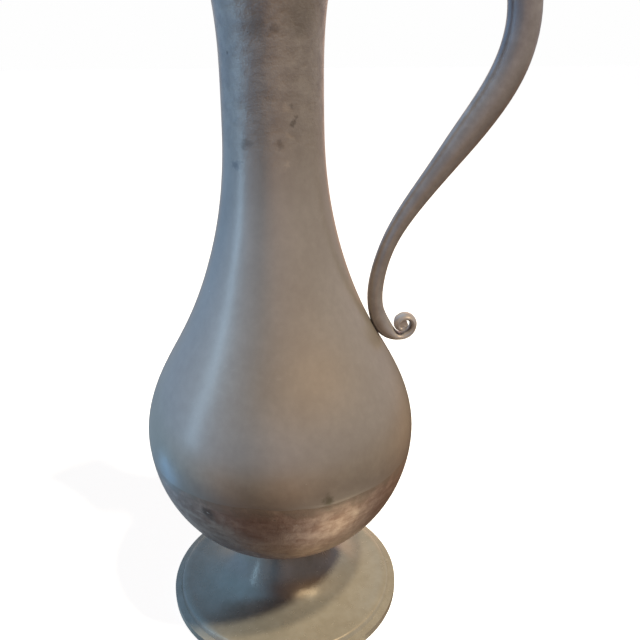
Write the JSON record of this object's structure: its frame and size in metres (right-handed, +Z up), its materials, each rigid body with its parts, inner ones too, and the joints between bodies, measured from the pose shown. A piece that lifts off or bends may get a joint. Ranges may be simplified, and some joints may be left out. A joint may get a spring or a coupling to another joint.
{
  "type": "pewter jug",
  "caption": "Footed serving jug with a pear-shaped belly, slender neck, beaked mouth, scrolled handle and a domed lid that hinges above the handle.",
  "frame": {"origin": "centre of the foot's ring, on the plane that it rests on and on the jug's own axis", "axes": "+Z up along the jug's axis, +X towards the handle, -X towards the beak"},
  "size_m": [0.1513, 0.112, 0.311],
  "materials": {
    "body_pewter": "satin, aged",
    "bowl_pewter": "satin, aged",
    "foot_pewter": "satin, aged",
    "mouth_pewter": "satin, aged",
    "handle_pewter": "satin, cast and worn smooth",
    "pin_wire": "drawn wire, dull",
    "lid_pewter": "satin, aged",
    "fitting_pewter": "satin, cast and worn smooth"
  },
  "bodies": {
    "jug": {"upper_body": "body_pewter", "bowl": "bowl_pewter", "foot": "foot_pewter", "mouth": "mouth_pewter", "handle": "handle_pewter", "hinge_pin": "pin_wire"},
    "lid": {"lid": "lid_pewter", "lid_bezel": "lid_pewter", "finial": "fitting_pewter", "thumb_lever": "fitting_pewter"}
  },
  "joints": [
    {"name": "lid_hinge", "type": "hinge", "parent": "jug", "child": "lid", "pos_m": [0.035, 0, 0.286], "axis": [0, 1, 0], "range_deg": [0, 93]}
  ]
}
